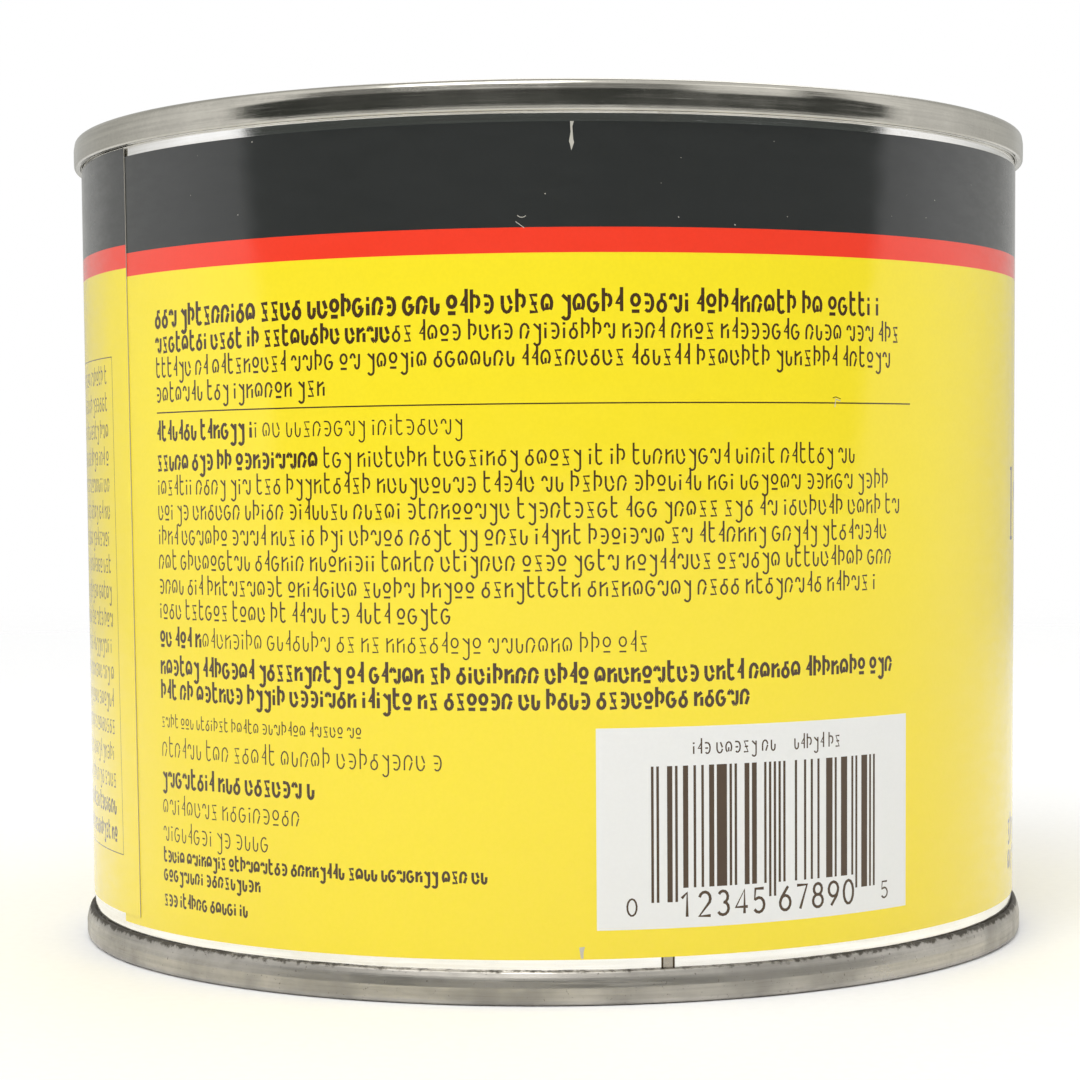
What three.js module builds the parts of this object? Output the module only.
// A round friction-lid tin of paste wax, 4 1/4 inches across its seams, in millimetres.
// The tin stands on z = 0 with its axis on z. The text side of its label faces -y.
// All the sheet metal is turned from one kind of outline: a centre line of (radius, height)
// corners, given the thickness of the plate.
import * as THREE from "three";

// the tin
const PLATE = 0.25;              // thickness of the tinplate
const BODY_RADIUS = 52.55;       // outside of the body's wall
const HEIGHT = 88.8;             // from the base to the top of the upper seam
const SEGMENTS = 48;             // facets round every turned piece, all in the same phase

// the double seams
const SEAM_GAP = 0.1;            // between the layers of a seam
const TOP_SEAM_HEIGHT = 3.1;
const BOTTOM_SEAM_HEIGHT = 3.4;
const BODY_HOOK_DROP = 2.4;      // from the seam's edge to the free edge of the body's hook
const END_HOOK_DROP = 1.4;       // from the seam's edge to the free edge of the end's hook
const ROLL_CORNER = 0.4;         // chamfer that rounds the seam's edge and the lid's curl
const FOLD_CORNER = 0.2;         // chamfer in the folds of the hooks
const COMPOUND_WIDTH = 0.3;
const COMPOUND_HEIGHT = 0.5;
const COMPOUND_GAP = 0.05;       // between the compound and the end's hook

// the panels
const TOP_PANEL_DEPTH = 4.35;    // from the seam's edge to the ring's sunk annulus
const BOTTOM_PANEL_DEPTH = 4.6;  // from the seam's edge to the bottom's sunk panel
const BOTTOM_STEP_RADIUS = 38;   // the bottom panel is raised inside this
const LID_STEP_RADIUS = 31;      // the lid's panel is raised inside this
const PANEL_STEP = 0.45;         // height of both steps, which slope at 45 degrees

// the ring's seat for the lid, by its centre line
const MOUTH_RADIUS = 41.8;       // of the wall that grips the lid's plug
const MOUTH_BOTTOM = HEIGHT - 7.6;
const HEM_WIDTH = 0.9;           // the mouth's raw edge is folded out and up
const HEM_HEIGHT = 0.8;
const BEAD_TOP = HEIGHT - 2.5;
const GROOVE_FLOOR = HEIGHT - 5.9;
const GROOVE_INNER_RADIUS = 43;
const GROOVE_OUTER_RADIUS = 45.1;
const SHOULDER_RADIUS = 46.3;
const SHOULDER_TOP = HEIGHT - 2.1;
const DRAFT = 0.3;               // what each wall of groove and shoulder leans over its height

// the lid, by its centre line
const LID_GAP = 0.1;             // between the lid and its seat
const LID_PANEL = HEIGHT - 5.6;
const LID_RIM_RADIUS = 47.2;
const LID_RIM_TOP = HEIGHT - 1.7;
const LID_CURL_DROP = 1.3;       // the rim turns down and back in by this much

// the label, wound on slightly askew; its angles run in degrees from -y towards +x
const LABEL_THICKNESS = 0.12;
const LABEL_GAP = 0.05;          // between the paper, the glue and the wall
const LABEL_HEIGHT = 80.35;
const LABEL_BOTTOM = 4.3;        // of the paper's first edge, the one underneath
const LABEL_RISE = 0.9;          // what the label climbs in one turn
const LABEL_START = -58.5;
const LABEL_LAP = 2.2;           // by which the paper covers its own start
const LABEL_RAMP_START = -3;     // the last edge lifts between these two, short of the start
const LABEL_RAMP_END = -0.8;
const GLUE_THICKNESS = 0.06;
const GLUE_MARGIN = 0.3;         // degrees between the glue and the lap's edges
const GLUE_END_MARGIN = 2;       // between the glue and the label's top and bottom

// the wax
const WAX_TOP = 72.5;
const WAX_GAP = 0.1;             // between the cake and the tin
const MENISCUS_HEIGHT = 0.8;
const MENISCUS_WIDTH = 3;
const WAX_DISH = 0.3;            // by which the middle of the cake has sunk

const MIDDLE = BODY_RADIUS - PLATE / 2; // centre line of the body's wall
const FULL_TURN = 2 * Math.PI;

const bodyPlate = { color: 0xb9b6ab, roughness: 0.3, metalness: 1 };
const drawnPlate = { color: 0xc6c4bb, roughness: 0.25, metalness: 1 };
const paper = { color: 0xf2dd33, roughness: 0.25, metalness: 0 };
const glue = { color: 0xd9c68f, roughness: 0.5, metalness: 0 };
const compound = { color: 0x6b6f6a, roughness: 0.8, metalness: 0 };
const wax = { color: 0xd8b45e, roughness: 0.55, metalness: 0 };

const tin = new THREE.Group();

function addMesh(name, geometry, finish) {
  const mesh = new THREE.Mesh(geometry, new THREE.MeshStandardMaterial(finish));
  mesh.name = name;
  tin.add(mesh);
}

// Turns a closed outline of (radius, height) points about the z axis.
function turned(points) {
  const outline = points.map(([radius, height]) => new THREE.Vector2(radius, height));
  return new THREE.LatheGeometry(outline, SEGMENTS).rotateX(Math.PI / 2);
}

// The corner's place on the face that lies `offset` to the left of the centre line.
function mitred(before, corner, after, offset) {
  const incoming = corner.clone().sub(before).normalize();
  const outgoing = after.clone().sub(corner).normalize();
  const leftOfBoth = new THREE.Vector2(-incoming.y - outgoing.y, incoming.x + outgoing.x);
  const normal = leftOfBoth.normalize();
  const stretch = incoming.x * normal.y - incoming.y * normal.x;
  return corner.clone().addScaledVector(normal, offset / stretch);
}

// One face of a sheet whose centre line runs through the corners.
function sheetFace(centreLine, offset) {
  const corners = centreLine.map(([radius, height]) => new THREE.Vector2(radius, height));
  const beyond = (end, neighbour) => end.clone().multiplyScalar(2).sub(neighbour);
  return corners.map((corner, i) => {
    const before = corners[i - 1] ?? beyond(corner, corners[i + 1]);
    const after = corners[i + 1] ?? beyond(corner, corners[i - 1]);
    return mitred(before, corner, after, offset).toArray();
  });
}

// Sheet metal turned from its centre line: along its right face and back along its left one.
// A line that starts on the axis makes a disc.
function sheetMetal(centreLine) {
  const right = sheetFace(centreLine, -PLATE / 2);
  const left = sheetFace(centreLine, PLATE / 2);
  const outline = [...right, ...left.reverse()];
  const isDisc = centreLine[0][0] === 0;
  return turned(isDisc ? outline : [...outline, outline[0]]);
}

// A double seam has five layers. From inside to outside: chuck wall, body wall, the end's
// hook, the body's hook and the seam's outer wall. Both seams are described by their drop from
// the seam's edge, and set at the top or the bottom of the tin.
const SEAM_PITCH = PLATE + SEAM_GAP;
const CHUCK_WALL_RADIUS = MIDDLE - SEAM_PITCH;
const END_HOOK_RADIUS = MIDDLE + SEAM_PITCH;
const BODY_HOOK_RADIUS = MIDDLE + 2 * SEAM_PITCH;
const SEAM_WALL_RADIUS = MIDDLE + 3 * SEAM_PITCH;
const FOLD_DROP = SEAM_PITCH + PLATE / 2;

const fromTop = ([radius, drop]) => [radius, HEIGHT - drop];
const fromBottom = ([radius, drop]) => [radius, drop];

// The body's hook, from its free edge over the fold to the start of the wall.
function bodyHook() {
  return [
    [BODY_HOOK_RADIUS, BODY_HOOK_DROP],
    [BODY_HOOK_RADIUS, FOLD_DROP + FOLD_CORNER],
    [BODY_HOOK_RADIUS - FOLD_CORNER, FOLD_DROP],
    [MIDDLE + FOLD_CORNER, FOLD_DROP],
    [MIDDLE, FOLD_DROP + FOLD_CORNER],
  ];
}

// The end's hook, outer wall and edge, and the chuck wall down to the sunk panel.
function seamedEdge(seamHeight, panelDepth) {
  const turn = seamHeight - PLATE / 2;
  const edge = PLATE / 2;
  return [
    [END_HOOK_RADIUS, END_HOOK_DROP],
    [END_HOOK_RADIUS, turn - FOLD_CORNER],
    [END_HOOK_RADIUS + FOLD_CORNER, turn],
    [SEAM_WALL_RADIUS - FOLD_CORNER, turn],
    [SEAM_WALL_RADIUS, turn - FOLD_CORNER],
    [SEAM_WALL_RADIUS, edge + ROLL_CORNER],
    [SEAM_WALL_RADIUS - ROLL_CORNER, edge],
    [CHUCK_WALL_RADIUS + ROLL_CORNER, edge],
    [CHUCK_WALL_RADIUS, edge + ROLL_CORNER],
    [CHUCK_WALL_RADIUS, panelDepth],
  ];
}

function bodyShell() {
  const upper = bodyHook().map(fromTop);
  const lower = bodyHook().map(fromBottom);
  return sheetMetal([...upper, ...lower.reverse()]);
}

function bottomEnd() {
  const edge = seamedEdge(BOTTOM_SEAM_HEIGHT, BOTTOM_PANEL_DEPTH);
  return sheetMetal([
    [0, BOTTOM_PANEL_DEPTH + PANEL_STEP],
    [BOTTOM_STEP_RADIUS - PANEL_STEP, BOTTOM_PANEL_DEPTH + PANEL_STEP],
    [BOTTOM_STEP_RADIUS, BOTTOM_PANEL_DEPTH],
    ...edge.map(fromBottom).reverse(),
  ]);
}

// Inside the upper seam: sunk annulus, shoulder, groove, bead, mouth wall and its hem.
function topRing() {
  return sheetMetal([
    ...seamedEdge(TOP_SEAM_HEIGHT, TOP_PANEL_DEPTH).map(fromTop),
    [SHOULDER_RADIUS + DRAFT, HEIGHT - TOP_PANEL_DEPTH],
    [SHOULDER_RADIUS, SHOULDER_TOP],
    [GROOVE_OUTER_RADIUS + DRAFT, SHOULDER_TOP],
    [GROOVE_OUTER_RADIUS, GROOVE_FLOOR],
    [GROOVE_INNER_RADIUS, GROOVE_FLOOR],
    [GROOVE_INNER_RADIUS - DRAFT, BEAD_TOP],
    [MOUTH_RADIUS, BEAD_TOP],
    [MOUTH_RADIUS, MOUTH_BOTTOM],
    [MOUTH_RADIUS + HEM_WIDTH, MOUTH_BOTTOM],
    [MOUTH_RADIUS + HEM_WIDTH, MOUTH_BOTTOM + HEM_HEIGHT],
  ]);
}

// The lid follows its seat one clearance away: panel, plug wall, over the bead, down into the
// groove, up to the rim and its curl.
function lid() {
  const clearance = PLATE + LID_GAP;
  const plug = MOUTH_RADIUS - clearance;
  const grooveInner = GROOVE_INNER_RADIUS + clearance;
  const grooveOuter = GROOVE_OUTER_RADIUS - clearance;
  return sheetMetal([
    [0, LID_PANEL + PANEL_STEP],
    [LID_STEP_RADIUS - PANEL_STEP, LID_PANEL + PANEL_STEP],
    [LID_STEP_RADIUS, LID_PANEL],
    [plug, LID_PANEL],
    [plug, BEAD_TOP + clearance],
    [grooveInner, BEAD_TOP + clearance],
    [grooveInner, GROOVE_FLOOR + clearance],
    [grooveOuter, GROOVE_FLOOR + clearance],
    [grooveOuter, LID_RIM_TOP],
    [LID_RIM_RADIUS - ROLL_CORNER, LID_RIM_TOP],
    [LID_RIM_RADIUS, LID_RIM_TOP - ROLL_CORNER],
    [LID_RIM_RADIUS, LID_RIM_TOP - LID_CURL_DROP + ROLL_CORNER],
    [LID_RIM_RADIUS - ROLL_CORNER, LID_RIM_TOP - LID_CURL_DROP],
  ]);
}

// Sealing compound between the free edge of the end's hook and the body's fold.
function seamCompound(place) {
  const inner = END_HOOK_RADIUS - COMPOUND_WIDTH / 2;
  const outer = END_HOOK_RADIUS + COMPOUND_WIDTH / 2;
  const drop = END_HOOK_DROP - COMPOUND_GAP;
  const [, near] = place([0, drop]);
  const [, far] = place([0, drop - COMPOUND_HEIGHT]);
  const bottom = Math.min(near, far);
  const top = Math.max(near, far);
  return turned([
    [inner, bottom],
    [outer, bottom],
    [outer, top],
    [inner, top],
    [inner, bottom],
  ]);
}

// A point at a radius and an angle that runs from -y towards +x.
function around(radius, angle) {
  return new THREE.Vector2(radius * Math.sin(angle), -radius * Math.cos(angle));
}

// Angles from start to end, with every facet edge of the turned pieces between them.
function facetAngles(start, end) {
  const step = FULL_TURN / SEGMENTS;
  const angles = [start];
  for (let i = Math.floor(start / step) + 1; i * step < end; i += 1) angles.push(i * step);
  return [...angles, end];
}

// An upright band of even thickness that follows the inner radius given at each angle.
function band(angles, innerRadiusAt, thickness, height) {
  const inner = angles.map((angle) => around(innerRadiusAt(angle), angle));
  const outer = angles.map((angle) => around(innerRadiusAt(angle) + thickness, angle));
  const outline = new THREE.Shape([...inner.reverse(), ...outer]);
  return new THREE.ExtrudeGeometry(outline, { depth: height, bevelEnabled: false });
}

const labelStart = THREE.MathUtils.degToRad(LABEL_START);
const labelLap = THREE.MathUtils.degToRad(LABEL_LAP);
const paperInside = BODY_RADIUS + LABEL_GAP;
const glueInside = paperInside + LABEL_THICKNESS + LABEL_GAP;
const lapInside = glueInside + GLUE_THICKNESS + LABEL_GAP;

// Lifts each point of the label by the turns that the paper has made to reach it. The radius
// tells the lap from the layer under it.
function climbing(geometry) {
  const position = geometry.getAttribute("position");
  const rounding = 1e-4; // keeps the first edge's own points at the start of the turn
  for (let i = 0; i < position.count; i += 1) {
    const x = position.getX(i);
    const y = position.getY(i);
    const angle = Math.atan2(x, -y) - labelStart + rounding;
    const wound = THREE.MathUtils.euclideanModulo(angle, FULL_TURN);
    const onLap = Math.hypot(x, y) > glueInside && wound < Math.PI;
    const turns = wound / FULL_TURN + (onLap ? 1 : 0);
    position.setZ(i, position.getZ(i) + LABEL_BOTTOM + LABEL_RISE * turns);
  }
  return geometry;
}

function label() {
  const oneTurn = labelStart + FULL_TURN;
  const rampStart = oneTurn + THREE.MathUtils.degToRad(LABEL_RAMP_START);
  const rampEnd = oneTurn + THREE.MathUtils.degToRad(LABEL_RAMP_END);
  const innerRadiusAt = (angle) => {
    const lift = THREE.MathUtils.clamp((angle - rampStart) / (rampEnd - rampStart), 0, 1);
    return THREE.MathUtils.lerp(paperInside, lapInside, lift);
  };
  const angles = [...facetAngles(labelStart, oneTurn + labelLap), rampStart, rampEnd];
  angles.sort((a, b) => a - b);
  return climbing(band(angles, innerRadiusAt, LABEL_THICKNESS, LABEL_HEIGHT));
}

// The strip of glue lies between the label's two layers, short of all their edges.
function labelLapAdhesive() {
  const margin = THREE.MathUtils.degToRad(GLUE_MARGIN);
  const angles = facetAngles(labelStart + margin, labelStart + labelLap - margin);
  const height = LABEL_HEIGHT - LABEL_RISE - 2 * GLUE_END_MARGIN;
  const strip = band(angles, () => glueInside, GLUE_THICKNESS, height);
  return strip.translate(0, 0, LABEL_BOTTOM + LABEL_RISE + GLUE_END_MARGIN);
}

// The cake of wax sits on the stepped bottom panel and climbs the wall in a slight meniscus.
function pasteWax() {
  const radius = BODY_RADIUS - PLATE - WAX_GAP;
  const bottom = BOTTOM_PANEL_DEPTH + PLATE / 2 + WAX_GAP;
  return turned([
    [0, bottom + PANEL_STEP],
    [BOTTOM_STEP_RADIUS, bottom + PANEL_STEP],
    [BOTTOM_STEP_RADIUS + PANEL_STEP, bottom],
    [radius, bottom],
    [radius, WAX_TOP + MENISCUS_HEIGHT],
    [radius - MENISCUS_WIDTH / 4, WAX_TOP + MENISCUS_HEIGHT / 3],
    [radius - MENISCUS_WIDTH, WAX_TOP],
    [0, WAX_TOP - WAX_DISH],
  ]);
}

addMesh("body_shell", bodyShell(), bodyPlate);
addMesh("bottom_end", bottomEnd(), bodyPlate);
addMesh("bottom_seam_compound", seamCompound(fromBottom), compound);
addMesh("top_ring", topRing(), drawnPlate);
addMesh("top_seam_compound", seamCompound(fromTop), compound);
addMesh("lid", lid(), drawnPlate);
addMesh("label", label(), paper);
addMesh("label_lap_adhesive", labelLapAdhesive(), glue);
addMesh("paste_wax", pasteWax(), wax);

export default tin;
